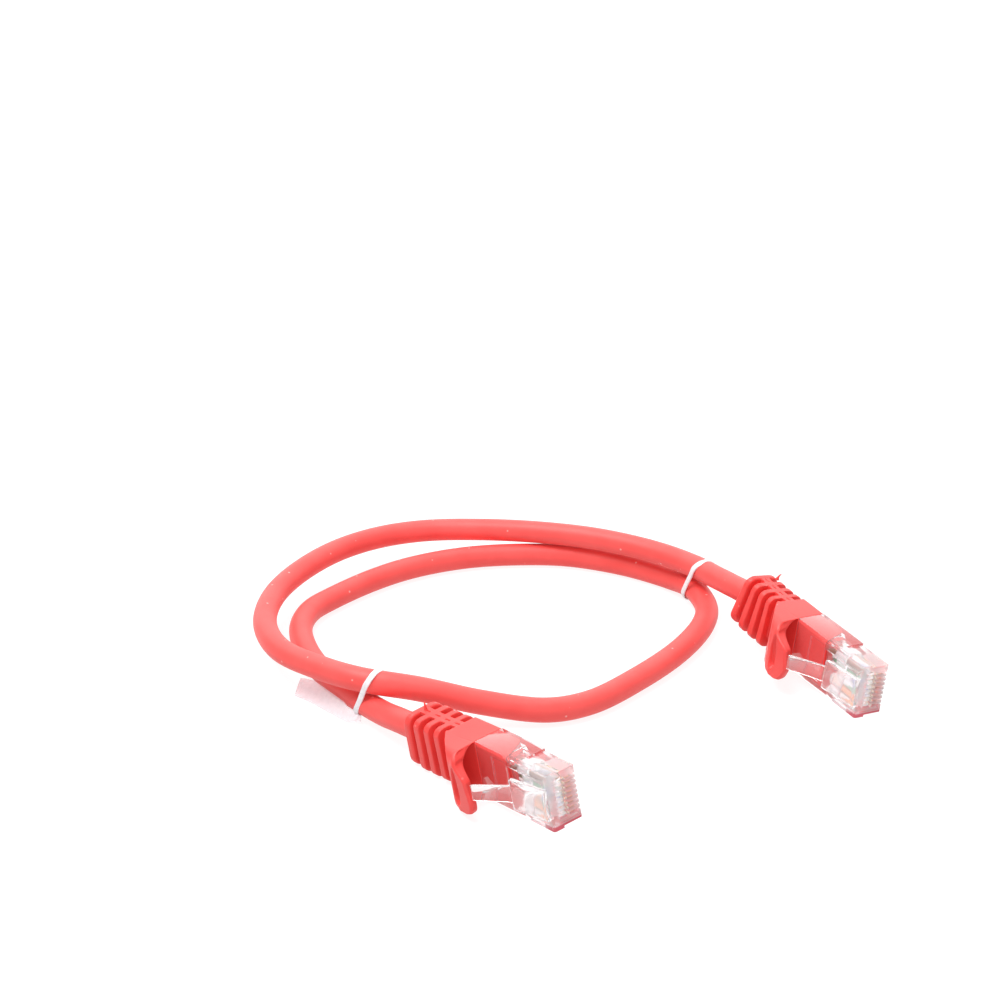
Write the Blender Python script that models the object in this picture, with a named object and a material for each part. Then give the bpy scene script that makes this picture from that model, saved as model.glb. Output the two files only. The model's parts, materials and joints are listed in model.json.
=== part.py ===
"""Ethernet patch lead, coiled for sale: red round cable, a moulded boot and a clear 8P8C plug at each end.

Axes: +Z up from the table, origin at the bottom centre of the whole lead. The named sizes are in millimetres.
Each plug has its own frame: x forward to the nose, y to the contact side, z along the plug's width.
"""

import math

import bpy
import bmesh
from mathutils import Matrix, Vector

MM = 0.001
COIL_CENTRE = Vector((-15.734, 27.131, 0.125))  # the coil's middle, seen from the row origin

# cable
JACKET_R = 2.55
JACKET_BORE_R = 2.12
JACKET_SIDES = 12
PAIR_OFFSET = 1.17  # pair centre from the cable's centre
WIRE_R = 0.4
WIRE_SIDES = 6
LAY_TURN = 120.0  # cable length for one turn of the four pairs
PAIR_TURN = 96.0  # cable length for one turn of a pair on itself
RING_STEP = 8.0
TAIL_STEP = 3.5
SPLIT_GAP = 1.1  # between the coil's jacket and a plug's tail, at the bend
LOW_Z = 2.5  # centre height of a strand that lies on the table

# plug, 8P8C
PLUG_LENGTH = 22.2
PLUG_WIDTH = 11.68
PLUG_THICKNESS = 6.6
HALF_W = PLUG_WIDTH / 2
HALF_T = PLUG_THICKNESS / 2
CONTACTS = 8
CONTACT_PITCH = 1.02
WIRE_Y = -0.45
WIRE_END_X = 20.9
WIRE_FAN_X = 9.2  # where the wires have fanned out from the round bundle into a row
WALL = 0.55  # of the clear body round its rear cavity
SLOT_HALF_W = 0.26
BLADE_HALF_T = 0.15
CAVITY_X = 10.6
THROAT_X = 15.7
CHANNEL_X = 21.2

# boot, moulded on the cable and into the plug's rear
BOOT_LENGTH = 19.2
BLOCK_LENGTH = 7.6
BLOCK_HALF_T = 3.75  # at the block's rear; at its front it is as thick as the plug
GROOVE = 1.46
RIB_PITCH = 2.85
RIB_COUNT = 4
RIB_HALF_T = 4.4
GROOVE_DEPTH = 1.1
SPINE_HALF = 1.1
BOOT_HALF_W = 5.78
BOOT_BORE_R = 2.72
JOINT_GAP = 0.3  # between the boot's face and the plug's rear
TONGUE_LENGTH = 9.9
CABLE_END_X = -1.5
BORE_RUN_X = -13.0  # half way along the boot's round bore
FUNNEL_END_X = 0.4  # where the bore has opened out to the tongue's hollow

# latch and its guard, heights b measured out from the plug's latch face
LATCH_T = 0.9
LATCH_HALF_W = 3.2
ARM_HALF_W = 1.7
LATCH_PIVOT = (21.2, 0.75)
GUARD_PIVOT = (-6.0, 0.6)
GUARD_HALF_W = 5.5
GUARD_EDGE = 0.8  # width of the guard's eased side edges

# ties
TIE_CLEARANCE = 0.56
TIE_THICKNESS = 0.3
TIE_WIDTH = 1.1
TIE_ARC_POINTS = 9
FILM_THICKNESS = 0.3

RED = (0.93, 0.10, 0.10)
WHITE = (0.86, 0.85, 0.86)
CLEAR = (0.92, 0.93, 0.95)
GOLD = (0.83, 0.62, 0.25)
ORANGE = (0.95, 0.42, 0.08)
GREEN = (0.10, 0.48, 0.20)
BLUE = (0.10, 0.22, 0.68)
BROWN = (0.36, 0.18, 0.08)

# wire order across the plug, position 1 to 8: (name, colour, place in the round bundle as (y, z))
WIRES = (
    ("white_orange", WHITE, (0.0, -1.58)),
    ("orange", ORANGE, (0.0, -0.76)),
    ("white_green", WHITE, (-PAIR_OFFSET, -0.41)),
    ("blue", BLUE, (PAIR_OFFSET, -0.41)),
    ("white_blue", WHITE, (PAIR_OFFSET, 0.41)),
    ("green", GREEN, (-PAIR_OFFSET, 0.41)),
    ("white_brown", WHITE, (0.0, 0.76)),
    ("brown", BROWN, (0.0, 1.58)),
)
PAIR_NAMES = ("orange", "green", "blue", "brown")

# The two ends. place: middle of the plug's rear edge in the coil's frame; turn: yaw, pitch, roll in degrees;
# drift: sideways and upwards shift of the soft boot for each mm of x; twist: its turn in radians per mm of x;
# bend: its curvature behind the block.
ENDS = {
    "a": {
        "place": (1.9, -71.0, 7.46),
        "turn": (-54.2, 8.3, 5.8),
        "drift": (0.147, -0.054),
        "bend": (-0.0022, 0.0092),
        "twist": -0.0026,
    },
    "b": {
        "place": (67.3, -23.5, 8.4),
        "turn": (-61.2, -3.0, -5.3),
        "drift": (0.031, 0.004),
        "bend": (0.0044, 0.0172),
        "twist": 0.0073,
    },
}

# Free-form lay of the cable between the boots, in the coil's frame: one and a half turns.
TAIL_A = ((-16.8, -51.0, 5.1), (-20.1, -46.3, 3.9))
TIE_1_LOW = (-24.9, -40.1, 3.38)
LOW_TURN = (
    (-33.5, -27.0),
    (-38.3, -16.0),
    (-40.2, -6.0),
    (-38.7, 1.9),
    (-34.4, 8.1),
    (-25.5, 17.6),
    (-16.8, 24.1),
    (-5.0, 29.1),
    (8.0, 30.9),
    (19.4, 30.1),
    (32.0, 25.2),
    (41.8, 18.4),
)
TIE_2_LOW = (46.4, 11.6, 3.38)
FRONT_RUN = (
    (48.8, 4.6, LOW_Z),
    (47.6, -4.0, LOW_Z),
    (41.8, -16.1, LOW_Z),
    (31.7, -29.3, LOW_Z),
    (21.2, -39.4, LOW_Z),
    (12.4, -42.9, 2.8),
    (-1.0, -42.8, 4.6),
    (-12.8, -42.4, 7.3),
)
TIE_1_HIGH = (-25.0, -41.2, 8.9)
HIGH_TURN = (
    (-33.6, -35.2, 8.3),
    (-42.4, -26.6, 7.75),
    (-47.0, -14.2, 7.3),
    (-46.7, -1.0, 7.1),
    (-42.4, 11.4, 7.0),
    (-34.4, 23.3, 7.0),
    (-25.0, 30.8, 6.95),
    (-14.5, 34.4, 7.0),
    (-1.6, 34.6, 7.2),
    (12.4, 32.2, 7.6),
    (26.0, 27.3, 8.1),
    (38.6, 19.6, 8.4),
)
TIE_2_HIGH = (47.0, 11.0, 8.85)
TAIL_B = ((50.8, 4.5, 9.5), (53.2, 0.0, 10.1))

# The first tie's film end: (edge on the table, edge on the strand) from the root to the free end.
FILM_ROOT = Vector((-27.5, -42.7, 1.5))
FILM = (
    ((-27.5, -43.5, 0.2), (-27.6, -41.9, 2.9)),
    ((-28.9, -42.3, 0.2), (-28.8, -39.7, 3.05)),
    ((-32.5, -38.6, 0.2), (-32.0, -35.2, 2.9)),
    ((-36.0, -34.9, 0.2), (-35.4, -29.8, 2.3)),
    ((-38.7, -32.8, 0.2), (-37.3, -27.8, 1.7)),
    ((-39.5, -32.3, 0.3), (-38.6, -26.6, 1.25)),
)


def clear_scene():
    for obj in list(bpy.data.objects):
        bpy.data.objects.remove(obj, do_unlink=True)


def material(name, colour, roughness, metallic=0.0, alpha=1.0):
    mat = bpy.data.materials.new(name)
    mat.use_nodes = True
    shader = mat.node_tree.nodes["Principled BSDF"]
    shader.inputs["Base Color"].default_value = (*colour, 1.0)
    shader.inputs["Roughness"].default_value = roughness
    shader.inputs["Metallic"].default_value = metallic
    shader.inputs["Alpha"].default_value = alpha
    mat.diffuse_color = (*colour, alpha)
    return mat


def empty(name, matrix, parent=None):
    obj = bpy.data.objects.new(name, None)
    bpy.context.scene.collection.objects.link(obj)
    hang(obj, matrix, parent)
    return obj


def hang(obj, matrix, parent):
    """Puts the object at a world matrix in millimetres, under its parent."""
    world = Matrix.LocRotScale((matrix.translation + COIL_CENTRE) * MM, matrix.to_quaternion(), (1, 1, 1))
    if parent:
        bpy.context.view_layer.update()
        obj.parent = parent
        obj.matrix_parent_inverse = parent.matrix_world.inverted()
    obj.matrix_world = world
    bpy.context.view_layer.update()


def add_part(name, verts, faces, mat, parent, origin=None, smooth=True):
    """A named object from points in the coil's frame, in millimetres, with its origin where asked."""
    origin = origin or Matrix.Identity(4)
    back = origin.inverted()
    mesh = bpy.data.meshes.new(name)
    mesh.from_pydata([tuple((back @ Vector(v)) * MM) for v in verts], [], faces)
    fix = bmesh.new()
    fix.from_mesh(mesh)
    bmesh.ops.recalc_face_normals(fix, faces=fix.faces)
    fix.to_mesh(mesh)
    fix.free()
    mesh.materials.append(mat)
    if smooth:
        mesh.shade_smooth()
        mesh.set_sharp_from_angle(angle=math.radians(35))
    obj = bpy.data.objects.new(name, mesh)
    bpy.context.scene.collection.objects.link(obj)
    hang(obj, origin, parent)
    return obj


def loft(rings):
    """A closed solid through rings of equal count, with flat ends."""
    count = len(rings[0])
    verts = [v for ring in rings for v in ring]
    faces = [tuple(range(count)), tuple(range(len(verts) - count, len(verts)))]
    for k in range(len(rings) - 1):
        faces += band(k * count, (k + 1) * count, count)
    return verts, faces


def band(first, second, count):
    return [
        (first + i, first + (i + 1) % count, second + (i + 1) % count, second + i) for i in range(count)
    ]


def sleeve(outer, inner):
    """A closed tube between outer and inner rings, open at both ends."""
    count = len(outer[0])
    verts = [v for ring in outer + inner for v in ring]
    start = len(outer) * count
    faces = band(0, start, count)
    faces += band((len(outer) - 1) * count, start + (len(inner) - 1) * count, count)
    for k in range(len(outer) - 1):
        faces += band(k * count, (k + 1) * count, count)
    for k in range(len(inner) - 1):
        faces += band(start + k * count, start + (k + 1) * count, count)
    return verts, faces


def circle(radius, sides):
    """Points (y, z) on a circle; the half step gives it a flat underside."""
    angles = [2 * math.pi * (i + 0.5) / sides for i in range(sides)]
    return [(radius * math.sin(a), radius * math.cos(a)) for a in angles]


def catmull(points, per_span=12):
    """Centripetal spline through the points, as a dense polyline."""
    p = [points[0] * 2 - points[1]] + list(points) + [points[-1] * 2 - points[-2]]
    out = []
    for k in range(1, len(p) - 2):
        knots = [0.0]
        for i in range(3):
            knots.append(knots[-1] + math.sqrt((p[k + i] - p[k + i - 1]).length))
        for j in range(per_span):
            t = knots[1] + (knots[2] - knots[1]) * j / per_span
            out.append(spline_point(p[k - 1 : k + 3], knots, t))
    return out + [points[-1]]


def spline_point(p, knots, t):
    def mix(a, b, i, j):
        return a * ((knots[j] - t) / (knots[j] - knots[i])) + b * ((t - knots[i]) / (knots[j] - knots[i]))

    a1, a2, a3 = (mix(p[i], p[i + 1], i, i + 1) for i in range(3))
    return mix(mix(a1, a2, 0, 2), mix(a2, a3, 1, 3), 1, 2)


class Lay:
    """The cable's centre line by arc length."""

    def __init__(self, points):
        self.line = catmull(points)
        self.run = [0.0]
        for a, b in zip(self.line, self.line[1:]):
            self.run.append(self.run[-1] + (b - a).length)
        self.length = self.run[-1]

    def at(self, s):
        k = max(i for i, r in enumerate(self.run[:-1]) if r <= max(s, 0.0))
        a, b = self.line[k], self.line[k + 1]
        return a + (b - a) * ((s - self.run[k]) / (b - a).length)

    def nearest(self, point):
        return min(zip(self.run, self.line), key=lambda rp: (rp[1] - point).length)[0]

    def frame(self, s, up):
        """Centre, sideways and upwards directions of the cross-section at s."""
        along = (self.at(min(s + 0.5, self.length)) - self.at(max(s - 0.5, 0.0))).normalized()
        side = up.cross(along).normalized()
        return self.at(s), side, along.cross(side)

    def ring(self, s, points, up):
        centre, side, rise = self.frame(s, up)
        return [centre + side * y + rise * z for y, z in points]


def plug_matrix(end):
    """The plug's frame from its place and its yaw, pitch and roll."""
    yaw, pitch, roll = (math.radians(degrees) for degrees in end["turn"])
    turn = Matrix.Rotation(yaw, 4, "Z") @ Matrix.Rotation(-pitch, 4, "Y") @ Matrix.Rotation(roll, 4, "X")
    return Matrix.Translation(Vector(end["place"])) @ turn


def boot_point(end, x, y=0.0, z=0.0):
    """A soft boot's point in the plug's frame: it drifts off the plug's line, then bends behind its block."""
    back, bent = min(x, 0.0), max(-x - BLOCK_LENGTH, 0.0)
    turn = end["twist"] * back
    y, z = y * math.cos(turn) - z * math.sin(turn), z * math.cos(turn) + y * math.sin(turn)
    (drift_y, drift_z), (bend_y, bend_z) = end["drift"], end["bend"]
    sideways = drift_y * back - bend_y * bent**2 / 2
    upwards = drift_z * back + bend_z * bent**2 / 2
    return Vector((x + (bend_z * z - bend_y * y) * bent, y + sideways, z + upwards))


def cable_points():
    """Control points of the centre line, from inside plug a to inside plug b."""
    stations = (CABLE_END_X, -BLOCK_LENGTH, -14.0, -BOOT_LENGTH)
    ends = {k: [plug_matrix(e) @ boot_point(e, x) for x in stations] for k, e in ENDS.items()}
    middle = list(TAIL_A) + [TIE_1_LOW] + [(x, y, LOW_Z) for x, y in LOW_TURN] + [TIE_2_LOW]
    middle += list(FRONT_RUN) + [TIE_1_HIGH] + list(HIGH_TURN) + [TIE_2_HIGH] + list(TAIL_B)
    return ends["a"] + [Vector(p) for p in middle] + ends["b"][::-1]


def spaced(start, stop, step):
    count = max(1, round(abs(stop - start) / step))
    return [start + (stop - start) * i / count for i in range(count + 1)]


def add_jacket(name, lay, stations, up, mat, parent, origin=None):
    outer = [lay.ring(s, circle(JACKET_R, JACKET_SIDES), up) for s in stations]
    inner = [lay.ring(s, circle(JACKET_BORE_R, JACKET_SIDES), up) for s in stations]
    add_part(name, *sleeve(outer, inner), mat, parent, origin)


def add_pair(index, lay, stations, mat, parent):
    """One twisted pair inside the coil: a bar two wires wide that turns on itself and about the cable."""
    half = ((2 * WIRE_R, 0.0), (WIRE_R, WIRE_R), (-WIRE_R, WIRE_R))
    section = list(half) + [(-y, -z) for y, z in half]
    rings = []
    for s in stations:
        lay_angle = math.pi / 2 * index + 2 * math.pi * s / LAY_TURN
        own = 2 * math.pi * s / PAIR_TURN + index
        cy, cz = PAIR_OFFSET * math.cos(lay_angle), PAIR_OFFSET * math.sin(lay_angle)
        turned = [
            (cy + y * math.cos(own) - z * math.sin(own), cz + y * math.sin(own) + z * math.cos(own))
            for y, z in section
        ]
        rings.append(lay.ring(s, turned, Vector((0, 0, 1))))
    add_part("pair_" + PAIR_NAMES[index], *loft(rings), mat, parent)


def add_wire(key, index, lay, stations, matrix, mat, parent):
    """One insulated wire, from the bend in the tail to under its contact."""
    name, _, (by, bz) = WIRES[index]
    up = matrix.to_3x3() @ Vector((0, 0, 1))
    flip = 1 if key == "a" else -1  # the lay runs away from plug a and towards plug b
    section = circle(WIRE_R, WIRE_SIDES)
    rings = [lay.ring(s, [(-flip * (by + y), bz + z) for y, z in section], up) for s in stations]
    for x in (WIRE_FAN_X, WIRE_END_X):
        rings.append([matrix @ Vector((x, WIRE_Y + y, pin_z(index) + z)) for y, z in section])
    add_part(f"wire_{key}_{name}", *loft(rings), mat, parent)


def boot_section(half_t, half_w, corner, relief, spine):
    """Sixteen points (y, z): a rounded slab whose spine keeps its height when the sides are relieved."""
    quarter = [
        (spine * 0.5, half_w),
        (spine, half_w - relief),
        (half_t - corner, half_w - relief),
        (half_t, half_w - relief - corner),
    ]
    right = quarter + [(y, -z) for y, z in quarter[::-1]]
    return right + [(-y, -z) for y, z in right]


def boot_stations():
    """Outer sections (x, points) from the collar to the tongue's end."""
    rib = boot_section(RIB_HALF_T, BOOT_HALF_W, 1.5, 0.0, SPINE_HALF)
    cut = boot_section(RIB_HALF_T - GROOVE_DEPTH, BOOT_HALF_W, 1.1, GROOVE_DEPTH, SPINE_HALF)
    rear = boot_section(RIB_HALF_T - 0.5, BOOT_HALF_W - 0.6, 1.6, 0.0, SPINE_HALF)
    rows = [(-BOOT_LENGTH, rear), (-BOOT_LENGTH + 0.7, rib)]
    for k in range(RIB_COUNT - 1, -1, -1):
        front = -BLOCK_LENGTH - RIB_PITCH * k
        rows += [(front - GROOVE, rib), (front - GROOVE, cut), (front, cut)]
        rows.append((front, rib if k else boot_section(BLOCK_HALF_T, BOOT_HALF_W, 0.5, 0.0, SPINE_HALF)))
    block = boot_section(HALF_T, BOOT_HALF_W, 0.5, 0.0, SPINE_HALF)
    tongue = boot_section(HALF_T - 0.85, HALF_W - 1.15, 0.6, 0.0, SPINE_HALF)
    rows += [(-JOINT_GAP, block), (-JOINT_GAP, tongue), (TONGUE_LENGTH, tongue)]
    return rows


def add_boot(key, matrix, end, mat, parent):
    """Strain relief: collar, ribs with wrap-round slots, front block, and a hollow tongue in the plug."""

    def ring(x, points):
        return [matrix @ boot_point(end, x, y, z) for y, z in points]

    rows = boot_stations()
    outer = [ring(x, points) for x, points in rows]
    round_bore = circle(BOOT_BORE_R, len(rows[0][1]))
    wide_bore = boot_section(HALF_T - 1.35, HALF_W - 1.6, 0.6, 0.0, SPINE_HALF)
    inner_rows = [(x, round_bore) for x in (-BOOT_LENGTH, BORE_RUN_X, CABLE_END_X + 0.2)]
    inner_rows += [(x, wide_bore) for x in (FUNNEL_END_X, TONGUE_LENGTH)]
    inner = [ring(x, points) for x, points in inner_rows]
    add_part(f"boot_{key}", *sleeve(outer, inner), mat, parent)


def strip(matrix, stations, thickness):
    """A bar of rectangular section along (x, b, half width) stations; b is the height off the latch face."""
    rings = []
    for k, (x, b, half_w) in enumerate(stations):
        before = Vector(stations[max(k - 1, 0)][:2])
        after = Vector(stations[min(k + 1, len(stations) - 1)][:2])
        along = (after - before).normalized()
        nx, nb = -along.y * thickness / 2, along.x * thickness / 2
        corners = ((nx, nb, half_w), (nx, nb, -half_w), (-nx, -nb, -half_w), (-nx, -nb, half_w))
        rings.append([matrix @ Vector((x + dx, -HALF_T - b - db, z)) for dx, db, z in corners])
    return loft(rings)


def latch_frame(matrix):
    return matrix @ Matrix.Translation((LATCH_PIVOT[0], -HALF_T - LATCH_PIVOT[1], 0.0))


def guard_frame(matrix, end):
    return matrix @ Matrix.Translation(boot_point(end, GUARD_PIVOT[0], -HALF_T - GUARD_PIVOT[1]))


def add_latch(key, matrix, mat, parent):
    """Locking tab: broad root at the nose, square shoulders, then a narrow arm rising to the rear."""
    stations = (
        (22.0, 0.75, LATCH_HALF_W),
        (20.5, 0.85, LATCH_HALF_W),
        (13.3, 1.85, LATCH_HALF_W),
        (13.2, 1.90, ARM_HALF_W),
        (5.9, 6.60, ARM_HALF_W),
    )
    solid = strip(matrix, stations, LATCH_T)
    add_part(f"latch_{key}", *solid, mat, parent, latch_frame(matrix), smooth=False)


def add_guard(key, matrix, end, mat, parent):
    """Snag guard: a soft wing that leaves the boot's block and stands behind the latch arm's end."""
    outline = ((-7.4, 0.6), (-0.7, 6.1), (2.8, 6.5), (3.3, 5.7), (0.2, 4.8), (-4.6, 0.72))
    full = GUARD_HALF_W - GUARD_EDGE
    rings = []
    for z, inset in ((-GUARD_HALF_W, 0.5), (-full, 0.0), (full, 0.0), (GUARD_HALF_W, 0.5)):
        pulled = [(x - inset if x > 0 else x, b) for x, b in outline]
        rings.append([matrix @ boot_point(end, x, -HALF_T - b, z) for x, b in pulled])
    add_part(f"snag_guard_{key}", *loft(rings), mat, parent, guard_frame(matrix, end), smooth=False)


def box(low, high, matrix):
    """An axis-aligned block in the plug's frame."""
    corners = [(x, y, z) for x in (low[0], high[0]) for y in (low[1], high[1]) for z in (low[2], high[2])]
    faces = [(0, 1, 3, 2), (4, 6, 7, 5), (0, 4, 5, 1), (2, 3, 7, 6), (0, 2, 6, 4), (1, 5, 7, 3)]
    return [matrix @ Vector(c) for c in corners], faces


def cutter(name, verts, faces):
    obj = add_part(name, verts, faces, material(name, CLEAR, 0.5), None, smooth=False)
    obj.hide_render = True
    obj.display_type = "WIRE"
    return obj


def cut(obj, tool):
    step = obj.modifiers.new(tool.name, "BOOLEAN")
    step.operation = "DIFFERENCE"
    step.solver = "EXACT"
    step.object = tool


def pin_z(index):
    return (index - (CONTACTS - 1) / 2) * CONTACT_PITCH


def add_housing(key, matrix, mat, parent):
    """Clear plug body: rear cavity, load-bar chamber, wire channel, and eight slots open at the nose."""
    outline = (
        (0.0, -HALF_T),
        (PLUG_LENGTH - 0.35, -HALF_T),
        (PLUG_LENGTH, -HALF_T + 0.35),
        (PLUG_LENGTH, HALF_T - 0.3),
        (PLUG_LENGTH - 0.3, HALF_T),
        (0.0, HALF_T),
    )
    rings = [[matrix @ Vector((x, y, z)) for x, y in outline] for z in (-HALF_W, HALF_W)]
    body = add_part(f"plug_housing_{key}", *loft(rings), mat, parent, smooth=False)
    hollows = {
        "cavity": ((-1.0, WALL - HALF_T, 0.8 - HALF_W), (CAVITY_X, HALF_T - WALL, HALF_W - 0.8)),
        "chamber": ((CAVITY_X - 0.6, -1.75, -4.65), (THROAT_X, 1.05, 4.65)),
        "channel": ((THROAT_X - 0.5, -1.0, -4.15), (CHANNEL_X, 0.12, 4.15)),
    }
    for i in range(CONTACTS):
        low, high = pin_z(i) - SLOT_HALF_W, pin_z(i) + SLOT_HALF_W
        hollows[f"slot_{i + 1}"] = ((15.9, -0.1, low), (PLUG_LENGTH + 1, HALF_T + 1, high))
    for name, (low, high) in hollows.items():
        cut(body, cutter(f"{name}_{key}", *box(low, high, matrix)))


def add_load_bar(key, matrix, mat, parent):
    """Wire comb: a clear bar with eight holes that holds the wires in a row."""
    low, high = (12.0, -1.5, -4.4), (THROAT_X - 0.3, 0.8, 4.4)
    bar = add_part(f"load_bar_{key}", *box(low, high, matrix), mat, parent, smooth=False)
    hole = circle(WIRE_R + 0.08, WIRE_SIDES)
    for i in range(CONTACTS):
        rings = []
        for x in (low[0] - 1, high[0] + 1):
            rings.append([matrix @ Vector((x, WIRE_Y + y, pin_z(i) + z)) for y, z in hole])
        cut(bar, cutter(f"comb_{key}{i + 1}", *loft(rings)))


def add_contact(key, index, matrix, mat, parent):
    """One gold blade: flat top in its slot, two prongs down to the wire."""
    outline = (
        (16.4, 0.9),
        (16.4, 2.6),
        (16.7, 2.75),
        (21.0, 2.75),
        (21.6, 2.2),
        (21.6, 1.1),
        (21.1, 0.7),
        (20.8, 0.03),
        (20.2, 0.03),
        (19.9, 0.8),
        (18.1, 0.8),
        (17.8, 0.03),
        (17.2, 0.03),
        (16.9, 0.7),
    )
    rings = []
    for z in (pin_z(index) - BLADE_HALF_T, pin_z(index) + BLADE_HALF_T):
        rings.append([matrix @ Vector((x, y, z)) for x, y in outline])
    add_part(f"contact_{key}{index + 1}", *loft(rings), mat, parent, smooth=False)


def add_tie(name, low, high, along, mat, parent):
    """A flat band round both strands."""
    across = (high - low).normalized()
    along = (along - across * along.dot(across)).normalized()
    side = along.cross(across)
    gap_r = JACKET_R + TIE_CLEARANCE

    def loop(radius, shift):
        points = []
        for centre, start in ((high, 0.0), (low, math.pi)):
            for i in range(TIE_ARC_POINTS):
                angle = start + math.pi * i / (TIE_ARC_POINTS - 1)
                out = side * math.cos(angle) + across * math.sin(angle)
                points.append(centre + out * radius + shift)
        return points

    shifts = (along * (-TIE_WIDTH / 2), along * (TIE_WIDTH / 2))
    outer = [loop(gap_r + TIE_THICKNESS, s) for s in shifts]
    inner = [loop(gap_r, s) for s in shifts]
    add_part(name, *sleeve(outer, inner), mat, parent)


def add_film(mat, parent):
    """The tie's loose film end: a sloped strip on the table, leaning on the lower strand."""
    rings = []
    for k, (low, high) in enumerate(FILM):
        before, after = FILM[max(k - 1, 0)][0], FILM[min(k + 1, len(FILM) - 1)][0]
        low, high = Vector(low), Vector(high)
        normal = (high - low).cross(Vector(after) - Vector(before)).normalized() * (FILM_THICKNESS / 2)
        rings.append([low + normal, high + normal, high - normal, low - normal])
    origin = Matrix.Translation(FILM_ROOT)
    add_part("tie_1_film_end", *loft(rings), mat, parent, origin, smooth=False)


def add_plug(key, lay, stations, mats, parent):
    """Everything that moves with one plug."""
    end = ENDS[key]
    matrix = plug_matrix(end)
    frame = empty(f"frame_plug_{key}", matrix, parent)
    up = matrix.to_3x3() @ Vector((0, 0, 1))
    add_jacket(f"tail_jacket_{key}", lay, stations, up, mats["red"], frame)
    for i in range(CONTACTS):
        add_wire(key, i, lay, stations, matrix, mats[WIRES[i][0]], frame)
        add_contact(key, i, matrix, mats["gold"], frame)
    add_boot(key, matrix, end, mats["red"], frame)
    add_housing(key, matrix, mats["clear"], frame)
    add_load_bar(key, matrix, mats["clear"], frame)
    add_latch(key, matrix, mats["clear"], frame)
    add_guard(key, matrix, end, mats["red"], frame)


def main():
    clear_scene()
    mats = {
        "red": material("red_pvc", RED, 0.45),
        "clear": material("clear_polycarbonate", CLEAR, 0.08, alpha=0.35),
        "gold": material("gold_contact", GOLD, 0.25, 1.0),
        "tie": material("white_tie", WHITE, 0.4),
        "film": material("tie_film", (0.93, 0.88, 0.9), 0.3, alpha=0.6),
    }
    for name, colour, _ in WIRES:
        mats[name] = material("wire_" + name, colour, 0.5)
    lay = Lay(cable_points())
    up = Vector((0, 0, 1))
    pivots = {"a": lay.nearest(Vector(TAIL_A[0])), "b": lay.nearest(Vector(TAIL_B[0]))}
    start, stop = pivots["a"] + SPLIT_GAP / 2, pivots["b"] - SPLIT_GAP / 2
    root = empty("coil", Matrix.Identity(4))
    stations = spaced(start, stop, RING_STEP)
    add_jacket("coil_jacket", lay, stations, up, mats["red"], root)
    for i, name in enumerate(PAIR_NAMES):
        add_pair(i, lay, stations, mats[name], root)
    tails = {
        "a": spaced(0.0, pivots["a"] - SPLIT_GAP / 2, TAIL_STEP),
        "b": spaced(lay.length, pivots["b"] + SPLIT_GAP / 2, TAIL_STEP),
    }
    for key, tail in tails.items():
        pivot = empty(f"bend_{key}", Matrix.Translation(lay.at(pivots[key])), root)
        add_plug(key, lay, tail[::-1], mats, pivot)
    for name, low, high in (("tie_1", TIE_1_LOW, TIE_1_HIGH), ("tie_2", TIE_2_LOW, TIE_2_HIGH)):
        low, high = Vector(low), Vector(high)
        s, t = lay.nearest(low), lay.nearest(high)
        run = (lay.at(s + 1) - lay.at(s - 1)).normalized()
        other = (lay.at(t + 1) - lay.at(t - 1)).normalized()
        add_tie(name, low, high, run + other * (1 if run.dot(other) > 0 else -1), mats["tie"], root)
    add_film(mats["film"], root)


main()
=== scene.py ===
"""Looks of a coiled red ethernet patch lead: soft moulded boots, clear plugs with coloured wires, ties.

Shapes are worked out in millimetres in the coil's frame, as in the CAD, and placed in metres when built.
A plug's own frame: x forward to the nose, y to the contact side, z along the plug's width. b is the height
off the latch face, so y = -HALF_T - b.
"""

import json
import math

import bmesh
import bpy
from mathutils import Matrix, Vector, noise


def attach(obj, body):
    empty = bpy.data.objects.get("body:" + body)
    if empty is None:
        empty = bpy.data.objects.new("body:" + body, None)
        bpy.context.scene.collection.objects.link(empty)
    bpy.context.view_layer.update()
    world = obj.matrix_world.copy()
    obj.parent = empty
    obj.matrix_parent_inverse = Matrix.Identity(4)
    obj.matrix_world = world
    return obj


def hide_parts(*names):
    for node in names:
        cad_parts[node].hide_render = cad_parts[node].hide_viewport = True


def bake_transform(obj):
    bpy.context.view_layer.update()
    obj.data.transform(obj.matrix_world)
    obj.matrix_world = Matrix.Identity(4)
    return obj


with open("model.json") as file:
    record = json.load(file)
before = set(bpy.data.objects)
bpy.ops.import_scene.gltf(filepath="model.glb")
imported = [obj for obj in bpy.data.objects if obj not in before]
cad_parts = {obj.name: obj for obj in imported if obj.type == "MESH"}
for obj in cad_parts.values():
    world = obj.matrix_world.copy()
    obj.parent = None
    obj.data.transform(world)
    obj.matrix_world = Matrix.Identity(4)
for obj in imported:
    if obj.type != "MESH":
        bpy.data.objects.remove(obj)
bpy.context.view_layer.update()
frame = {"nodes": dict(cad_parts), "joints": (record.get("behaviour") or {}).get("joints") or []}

MM = 0.001
JOINTS = {j["name"]: j for j in frame["joints"]}
FILM_ROOT = Vector((-27.5, -42.7, 1.5))
COIL_CENTRE = Vector(JOINTS["film_swing"]["pos_m"]) / MM - FILM_ROOT

# cable
JACKET_R = 2.55
LOW_Z = 2.5
CABLE_SIDES = 48
CABLE_STEP = 0.8
CABLE_END_X = -1.5

# plug
PLUG_LENGTH = 22.2
HALF_W = 5.84
HALF_T = 3.3
CONTACTS = 8
PITCH = 1.02
SLOT_HALF = 0.27
WIRE_R = 0.44
WIRE_Y = -0.45
WIRE_START_X = 4.0
WIRE_END_X = 20.9

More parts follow.
